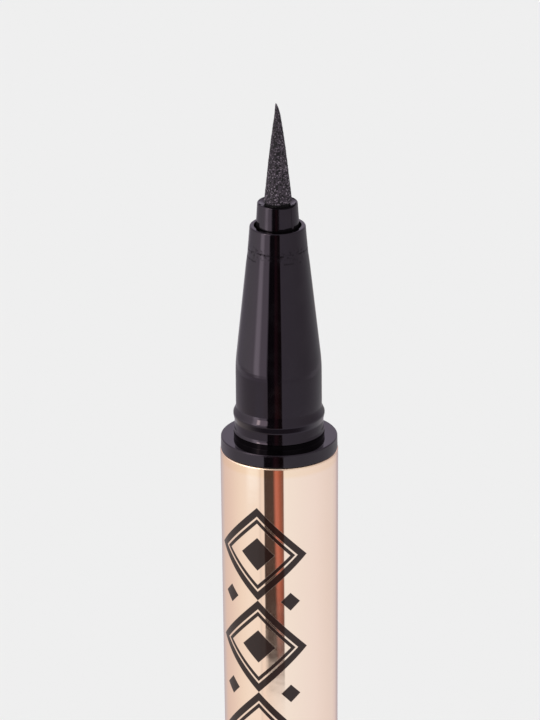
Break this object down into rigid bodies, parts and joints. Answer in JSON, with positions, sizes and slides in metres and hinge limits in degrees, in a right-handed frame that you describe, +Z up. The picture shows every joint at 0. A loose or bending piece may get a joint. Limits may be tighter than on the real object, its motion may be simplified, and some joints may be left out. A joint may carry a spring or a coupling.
{
  "type": "eyeliner pen",
  "caption": "Upright liquid eyeliner pen with a pointed felt nib, a metallised barrel, a mixing ball and a sprung cap posted on its tail.",
  "frame": {"origin": "centre of the flat closed end of the posted cap, which the pen stands on", "axes": "+Z up along the pen's axis towards the nib; the nib's tip leans slightly towards -X"},
  "size_m": [0.011, 0.011, 0.1652],
  "materials": {
    "rose_gold": "vacuum-metallised, polished",
    "gloss_black": "polished",
    "felt": "inked felt",
    "feed_fibre": "inked fibre",
    "white_plastic": "as moulded",
    "natural_plastic": "milky, as moulded",
    "steel": "polished",
    "spring_steel": "drawn wire"
  },
  "bodies": {
    "pen": {"barrel": "rose_gold", "collar_ring": "gloss_black", "front_section": "gloss_black", "nib_holder": "gloss_black", "nib": "felt", "feed_rod": "feed_fibre", "ink_collector": "white_plastic", "cartridge_tube": "natural_plastic", "cartridge_plug": "natural_plastic", "tail_plug": "gloss_black"},
    "cap": {"cap_shell": "rose_gold", "cap_liner": "gloss_black", "seal_spring": "spring_steel"},
    "seal": {"seal_cup": "natural_plastic"},
    "ball": {"mixing_ball": "steel"}
  },
  "joints": [
    {"name": "cap_pull", "type": "slide", "parent": "pen", "child": "cap", "axis": [0, 0, -1], "range_m": [0, 0.03]},
    {"name": "seal_press", "type": "slide", "parent": "cap", "child": "seal", "axis": [0, 0, -1], "range_m": [0, 0.003], "stiffness_N_per_m": 150, "deforming": ["seal_spring"]},
    {"name": "ball_shake", "type": "slide", "parent": "pen", "child": "ball", "axis": [0, 0, 1], "range_m": [0, 0.0579]}
  ]
}
